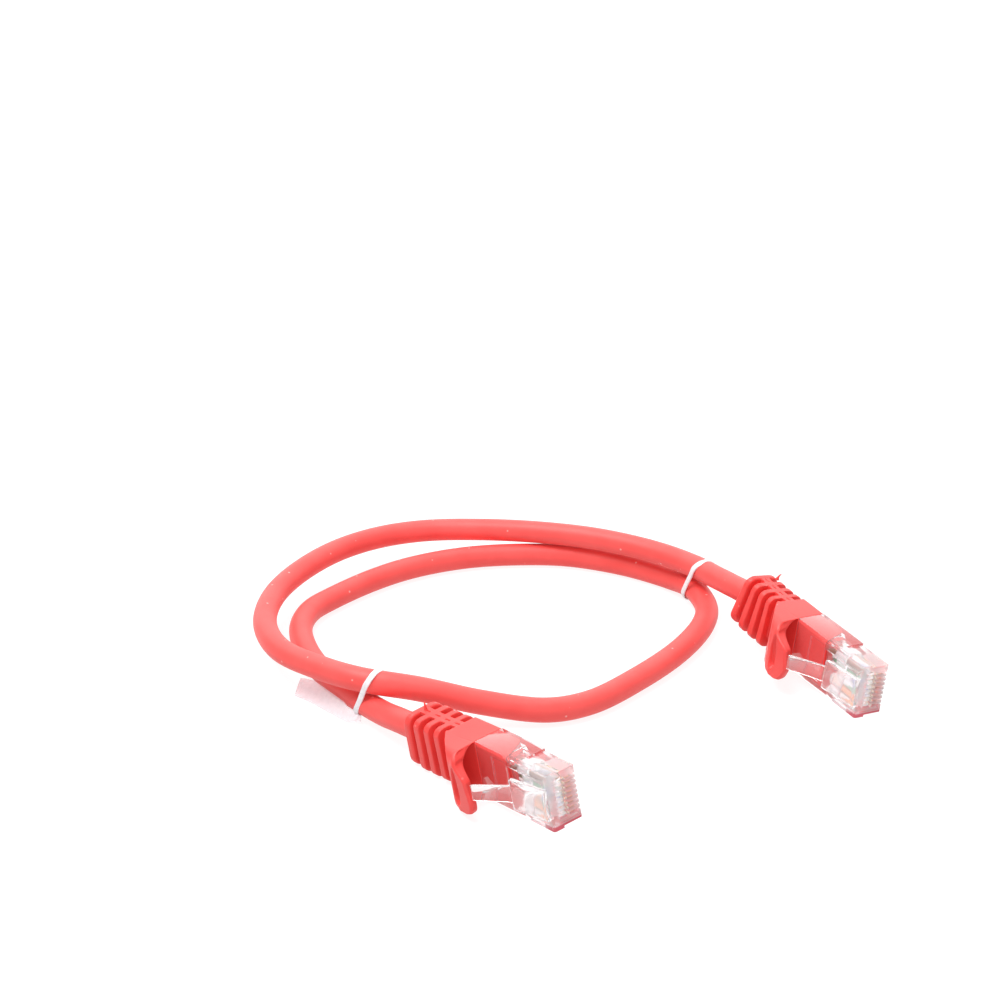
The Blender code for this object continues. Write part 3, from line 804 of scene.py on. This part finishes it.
def make_film(film, columns=60, half_thick=0.07):
    """The tie's loose end: a creased cloudy strip on the lower strand, gathered where it leaves the tie."""
    rings = []
    for i in range(columns + 1):
        t = (len(FILM) - 1) * i / columns
        tight = max(0.0, 1 - i / 14)
        rings.append(film_line(i, t, tight, half_thick) + film_line(i, t, tight, -half_thick)[::-1])
    strip = build("tie_film_strip", *loft(rings), [film], sharp=60)
    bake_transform(strip)
    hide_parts("tie_1_film_end")


# ---------------------------------------------------------------- boot and snag guard


def slab(x0, x1, half_t, half_w, corner, edge=0.12, rear_t=None):
    """A pillow between x0 and x1 with rounded ends; rear_t is its half thickness at x0 when it flares."""
    rear_t = rear_t or half_t
    rear_end = ((x0, edge), (x0 + edge * 0.3, edge * 0.3), (x0 + edge, 0))
    front_end = ((x1 - edge, 0), (x1 - edge * 0.3, edge * 0.3), (x1, edge))
    rings = []
    for x, inset in rear_end + front_end:
        t = rear_t + (half_t - rear_t) * (x - x0) / (x1 - x0)
        rings.append([(x, y, z) for y, z in rounded(t - inset, half_w - inset, max(corner - inset, 0.15))])
    return loft(rings)


def wing_outline(z, rims):
    """The guard's outline (x, b) at one height: a hood over an arch, closed by a web at the upper edge."""
    rise = min(max((z - ARCH_START) / ARCH_RISE, 0.0), 1.0)
    arch = ARCH_B * math.sqrt(1 - rise**2)
    sink = 0.5 * rise**3
    inner = GUARD_FOOT + arch * ARCH_SLOPE
    top = quarter_round(z - HALF_W + HOOD_ROUND, HOOD_ROUND)
    low = quarter_round(GUARD_LOW + GUARD_END_ROUND - z, GUARD_END_ROUND)
    full = (GUARD_B - top) / GUARD_B
    rim = rim_at(z, rims) - low
    foot = [(-7.9, -0.4), (-7.7, 0.1)]
    slope = [(-8.0 + 3.6 * full, 3.2 * full), (-8.0 + 7.1 * full + low * 0.6, 6.0 * full)]
    hood_x = min(0.6 + low * 0.3, rim - 0.3) + 1.5 * (full - 1)
    hood = [(hood_x, 6.45 * full), (max(rim - 0.5, hood_x + 0.1), GUARD_B * full), (rim, 6.1 * full)]
    lip = [(rim - 0.1, max(5.6 * full, arch + 0.3)), (rim - 0.25, max(4.9 * full, arch + 0.15))]
    web = min(max(rim * arch / 5.9, inner), rim - 0.3)
    under = [(web, arch - sink), (inner, arch - sink), (GUARD_FOOT, -sink / 2), (GUARD_FOOT, -0.5)]
    return foot + slope + hood + lip + under


def quarter_round(reach, radius):
    """How far a rounded edge falls back, reach past the start of its radius."""
    reach = min(max(reach, 0.0), radius)
    return radius - math.sqrt(radius**2 - reach**2)


def rim_at(z, rims):
    """How far forward the hood's free edge stands at one height."""
    for (z0, x0), (z1, x1) in zip(rims, rims[1:]):
        if z <= z1 or z1 == rims[-1][0]:
            return x0 + (x1 - x0) * ease((z - z0) / (z1 - z0))


def guard_solid(rims):
    """The guard from its low end to the plug's upper edge, with sections closest where the arch turns."""
    rings = []
    for i in range(GUARD_STEPS + 1):
        z = GUARD_LOW + (HALF_W - GUARD_LOW) * math.sin(math.pi / 2 * i / GUARD_STEPS)
        rings.append([(x, -HALF_T - b, z) for x, b in wing_outline(z, rims)])
    return loft(rings)


def boot_solids(rims):
    """Closed local solids that overlap: core, ribs, collar, block, spine halves and guard."""
    core_t, core_w = RIB_HALF_T - GROOVE_DEPTH, HALF_W - TOP_SKIN - GROOVE_DEPTH
    solids = [slab(-BOOT_LENGTH + 0.5, -BLOCK_LENGTH + 1, core_t, core_w, 1.5)]
    for k in range(1, RIB_COUNT):
        rear = -BLOCK_LENGTH - RIB_PITCH * k
        solids.append(slab(rear, rear + RIB_PITCH - GROOVE, RIB_HALF_T, HALF_W - TOP_SKIN, 1.7))
    collar_front = -BLOCK_LENGTH - RIB_PITCH * (RIB_COUNT - 1) - GROOVE
    solids.append(slab(-BOOT_LENGTH, collar_front, RIB_HALF_T, HALF_W - TOP_SKIN, 2.3, 0.4))
    solids.append(slab(-BLOCK_LENGTH, -0.04, HALF_T, HALF_W, 0.35, 0.12, BLOCK_HALF_T))
    for side in (-1, 1):
        solids += spine(side)
    solids.append(guard_solid(rims))
    return solids


def spine(side):
    """Two rails with a shallow groove between them, along the middle of one narrow side."""
    root, top, floor = side * (HALF_W - 1.6), side * (HALF_W - 0.08), side * (HALF_W - 0.42)
    rear, front = -BOOT_LENGTH + 0.4, -BLOCK_LENGTH + 0.5
    parts = []
    for y0, y1, crest in ((0.14, SPINE_HALF, top), (-SPINE_HALF, -0.14, top), (-0.3, 0.3, floor)):
        low, high = sorted((root, crest))
        parts.append(block((rear, y0, low), (front, y1, high)))
    return parts


def press_lens(mesh, centre, middle, depth):
    """The long lens-shaped hollow in the guard's hood, deeper towards its lower end."""
    for vert in mesh.vertices:
        x, b, z = vert.co.x, -HALF_T - vert.co.y, vert.co.z
        v = (z - middle) / LENS_HALF_LENGTH
        u = (x - centre) / (1.05 - 0.35 * v)
        inside = 1 - u * u - v * v
        if b > 5.4 and inside > 0:
            vert.co.y += depth * (1 - 0.4 * v) * min(1.0, inside * 2.5)


def make_boot(key, red):
    """The moulded boot and its snag guard, one soft skin."""
    end, matrix = ENDS[key], PLUGS[key]
    mesh = fused(boot_solids(end["rims"]), BOOT_VOXEL, 1)
    press_lens(mesh, *end["lens"])
    boot = bring(f"moulded_boot_{key}", mesh, lambda p: matrix @ boot_point(end, *p), [red])
    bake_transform(boot)
    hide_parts(f"boot_{key}", f"snag_guard_{key}")


def make_nib(key, red):
    """The small torn thread that the mould leaves on the collar's upper edge."""
    end, matrix = ENDS[key], PLUGS[key]
    start_y, lean_x, lean_y, height = end["nib"]
    rings = []
    for i, radius in enumerate((0.5, 0.44, 0.3, 0.22, 0.17, 0.08)):
        t = max(0.0, (i - 1) / 4)
        x, y = -17.6 + lean_x * t * t, start_y + lean_y * t * t
        z = HALF_W - 0.45 + i * 0.1 + height * t
        rings.append([matrix @ boot_point(end, x + dx, y + dy, z) for dx, dy in circle(radius, 10)])
    nib = build(f"mould_nib_{key}", *loft(rings), [red])
    stand_for(nib, f"plug_{key}", "red_pvc")


def make_fill(key, red):
    """The boot's red tongue, moulded tight against the plug's clear walls, with an uneven slanted front."""
    matrix = PLUGS[key]
    rings = []
    for i in range(25):
        t = i / 24
        ring = []
        for y, z in rounded(2.75, 5.1, 0.5, 6):
            wave = 0.9 * noise.noise(Vector((y * 0.6, z * 0.4, ord(key))))
            front = 9.8 - 1.1 * max(0.0, y) * max(0.0, z / 4.75) + wave
            ring.append(matrix @ Vector((-0.5 + (front + 0.5) * t, y, z)))
        rings.append(ring)
    fill = build(f"plug_fill_{key}", *loft(rings), [red], sharp=50)
    stand_for(fill, f"plug_{key}", "red_pvc")


# ---------------------------------------------------------------- plug


def pin_z(index):
    """Where a contact stands across the plug's width."""
    return (index - (CONTACTS - 1) / 2) * PITCH


def housing_body():
    """The clear body's profile (x, y) run across the plug's width."""
    outline = (
        (0.02, -HALF_T),
        (PLUG_LENGTH - 0.35, -HALF_T),
        (PLUG_LENGTH, -HALF_T + 0.35),
        (PLUG_LENGTH, HALF_T - 0.3),
        (PLUG_LENGTH - 0.3, HALF_T),
        (0.02, HALF_T),
    )
    return loft([[(x, y, z) for x, y in outline] for z in (-HALF_W, HALF_W)])


def housing_cutters():
    """Hollows for tongue, comb and wires, recesses under the latch, stepped narrow sides, contact slots."""
    step, past = 0.45, 1.0
    cutters = [
        block((-past, -2.2, -4.5), (8.6, 2.2, 4.5)),
        block((9.0, -1.9, -4.65), (15.7, 1.1, 4.65)),
        block((15.2, -1.0, -4.2), (21.2, 0.12, 4.2)),
        block((4.8, -HALF_T - past, -4.3), (9.3, -HALF_T + 0.35, 4.3)),
        block((9.3, -HALF_T - past, -3.7), (20.4, -HALF_T + 0.85, 3.7)),
        block((13.5, -1.0, HALF_W - step), (PLUG_LENGTH + past, HALF_T + past, HALF_W + past)),
        block((13.5, -1.0, -HALF_W - past), (PLUG_LENGTH + past, HALF_T + past, -HALF_W + step)),
    ]
    for i in range(CONTACTS):
        low, high = pin_z(i) - SLOT_HALF, pin_z(i) + SLOT_HALF
        cutters.append(block((15.9, 0.62, low), (PLUG_LENGTH + past, HALF_T + past, high)))
        cutters.append(block((20.9, -1.75, low), (PLUG_LENGTH + past, 0.22, high)))
    return cutters


def make_housing(key, clear, edge):
    """The clear plug body; its rounded edges carry a painted pink glow, so they are pinker than its walls.
    """
    matrix = PLUGS[key]
    mesh = carved(housing_body(), housing_cutters(), 0.1)
    # The painted pink edge glow stays off the crowded contact slots and the wire channel.
    for face in mesh.polygons:
        if face.center.x > 15.5 and abs(face.center.z) < 4.2:
            face.material_index = 0
    housing = bring(f"clear_body_{key}", mesh, lambda p: matrix @ p, [clear, edge], sharp=40)
    stand_for(housing, f"plug_{key}", "clear_polycarbonate", f"plug_housing_{key}")


def make_latch(key, clear):
    """Locking tab: broad root at the nose, hooked shoulders, then a narrow arm that rises to the rear."""
    matrix = PLUGS[key]
    rings = []
    for k, (x, b, half_w, thick) in enumerate(LATCH):
        before, after = LATCH[max(k - 1, 0)], LATCH[min(k + 1, len(LATCH) - 1)]
        along = (Vector(after[:2]) - Vector(before[:2])).normalized()
        ring = []
        for across, z in rounded(thick / 2, half_w, 0.16, 2):
            ring.append(matrix @ Vector((x - along.y * across, -HALF_T - b - along.x * across, z)))
        rings.append(ring)
    latch = build(f"clear_latch_{key}", *loft(rings), [clear], sharp=40)
    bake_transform(latch)
    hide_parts(f"latch_{key}")


def make_load_bar(key, cloudy, edge):
    """The comb that holds the eight wires side by side."""
    matrix = PLUGS[key]
    holes = []
    for i in range(CONTACTS):
        section = circle(WIRE_R + 0.05, 12)
        holes.append(loft([[(x, WIRE_Y + y, pin_z(i) + z) for y, z in section] for x in (11.0, 17.0)]))
    # The comb's rounded edges take the same painted pink glow.
    mesh = carved(block((12.2, -1.5, -4.4), (15.3, 0.7, 4.4)), holes, 0.06)
    bar = bring(f"wire_comb_{key}", mesh, lambda p: matrix @ p, [cloudy, edge], sharp=40)
    stand_for(bar, f"plug_{key}", "clear_polycarbonate", f"load_bar_{key}")


def wire_rings(key, i, place, sides, steps=30):
    """Sections of one wire from its place in the cable to its slot in the comb, a little astray."""
    by, bz = place
    rings = []
    for k in range(steps + 1):
        x = WIRE_START_X + (WIRE_END_X - WIRE_START_X) * k / steps
        t = ease((x - 5.0) / 7.4)
        stray = 0.12 * (1 - abs(2 * t - 1)) * noise.noise(Vector((x * 0.4, i * 3.1, ord(key))))
        y = -by + (WIRE_Y + by) * t + stray
        z = bz + (pin_z(i) - bz) * t + stray
        rings.append([PLUGS[key] @ Vector((x, y + dy, z + dz)) for dy, dz in circle(WIRE_R, sides)])
    return rings


def make_wires(key, mats, sides=12):
    """The eight insulated wires, fanned out from the cable's end into the comb; pale ones have a stripe."""
    for i, (name, stripe, place) in enumerate(WIRES):
        looks = [mats["white" if stripe else name], mats[stripe or name]]
        solid = loft(wire_rings(key, i, place, sides))
        wire = build(f"insulated_wire_{key}{i + 1}", *solid, looks, sharp=60)
        if stripe:
            for face in wire.data.polygons[2:]:
                turn = ((face.index - 2) % sides - (face.index - 2) // sides // 2) % sides
                face.material_index = 1 if turn in (7, 8, 9) else 0
        stand_for(wire, f"plug_{key}", "wire_" + name, f"wire_{key}_{name}")


# ---------------------------------------------------------------- stage


def floor_material():
    """A pale floor with a faint shadow: it glows, but throws less of that light back on the lead."""
    mat, tree, shader, output = tree_of("pale_floor")
    shader.inputs["Base Color"].default_value = (0.22, 0.22, 0.22, 1.0)
    shader.inputs["Roughness"].default_value = 0.9
    glow = node(tree, "ShaderNodeEmission")
    path = tree.nodes.new("ShaderNodeLightPath")
    tree.links.new(ramp(tree, path.outputs["Is Diffuse Ray"], 0.0, 1.0, 0.85, 0.5), glow.inputs["Strength"])
    both = tree.nodes.new("ShaderNodeAddShader")
    tree.links.new(shader.outputs[0], both.inputs[0])
    tree.links.new(glow.outputs[0], both.inputs[1])
    tree.links.new(both.outputs[0], output.inputs["Surface"])
    return mat


def make_stage():
    """The pale table, an even white surround and the soft lights."""
    corners = [(x * FLOOR_SIZE, y * FLOOR_SIZE, 0) for x, y in ((-1, -1), (1, -1), (1, 1), (-1, 1))]
    mesh = bpy.data.meshes.new("floor")
    mesh.from_pydata(corners, [], [(0, 1, 2, 3)])
    place_object("floor", mesh, [floor_material()])
    world = bpy.data.worlds.new("studio")
    bpy.context.scene.world = world
    world.use_nodes = True
    sky = world.node_tree.nodes["Background"]
    sky.inputs["Color"].default_value = (1.0, 1.0, 1.0, 1.0)
    sky.inputs["Strength"].default_value = 0.45
    for light in LIGHTS:
        soft_light(*light)


def soft_light(name, place, size, power):
    """A square area light that faces the middle of the table."""
    data = bpy.data.lights.new(name, "AREA")
    data.size = size
    data.energy = power
    obj = bpy.data.objects.new(name, data)
    obj.location = place
    obj.rotation_euler = (-Vector(place)).to_track_quat("-Z", "Y").to_euler()
    bpy.context.scene.collection.objects.link(obj)


def make_camera():
    """The photo's camera."""
    data = bpy.data.cameras.new("camera")
    data.lens = CAMERA_LENS
    data.sensor_width = 36.0
    data.clip_start = 0.01
    camera = bpy.data.objects.new("camera", data)
    camera.location = row(CAMERA_PLACE)
    camera.rotation_euler = (math.radians(CAMERA_TILT), 0.0, 0.0)
    bpy.context.scene.collection.objects.link(camera)
    scene = bpy.context.scene
    scene.camera = camera
    scene.view_settings.view_transform = "Standard"
    scene.cycles.max_bounces = 24
    scene.cycles.transmission_bounces = 24
    scene.cycles.glossy_bounces = 24
    scene.cycles.transparent_max_bounces = 24
    scene.cycles.use_denoising = True


def make_gold_contacts(key, gold):
    """The CAD's contact blades stay and only change their finish."""
    for i in range(CONTACTS):
        contact = frame["nodes"][f"contact_{key}{i + 1}"]
        contact.data.materials.clear()
        contact.data.materials.append(gold)


def main():
    red = pvc("cable_pvc", *CABLE_LOOK)
    boot_red = pvc("boot_pvc", *BOOT_LOOK)
    inner_red = satin("moulded_in_pvc", TONGUE_RED, 0.9)
    inner_red.node_tree.nodes["Principled BSDF"].inputs["Specular IOR Level"].default_value = 0.0
    clear = clear_plastic("clear_latch_look", *CLEAR_LOOK)
    # Painted pink glow for the rounded clear edges.
    edge = clear_plastic("clear_edge_painted_pink_look", *PAINTED_PINK_EDGE_LOOK)
    cloudy = clear_plastic("comb_plastic_look", *COMB_LOOK)
    white = satin("tie_plastic", TIE_WHITE, 0.4)
    gold = gold_material()
    wires = {name: satin(f"wire_{name}_look", colour, 0.45) for name, colour in WIRE_COLOURS.items()}
    make_cable(red)
    make_tie("tie_band_1", "tie_1", TIE_1_LOW, TIE_1_HIGH, TIE_1_SLIDE, white)
    make_tie("tie_band_2", "tie_2", TIE_2_LOW, TIE_2_HIGH, TIE_2_SLIDE, white)
    make_film(film_material())
    for key, matrix in PLUGS.items():
        body = clear_plastic(f"clear_polycarbonate_look_{key}", *CLEAR_LOOK, matrix)
        make_boot(key, boot_red)
        make_nib(key, boot_red)
        make_fill(key, inner_red)
        make_housing(key, body, edge)
        make_latch(key, clear)
        make_load_bar(key, cloudy, edge)
        make_wires(key, wires)
        make_gold_contacts(key, gold)
    make_stage()
    make_camera()


main()
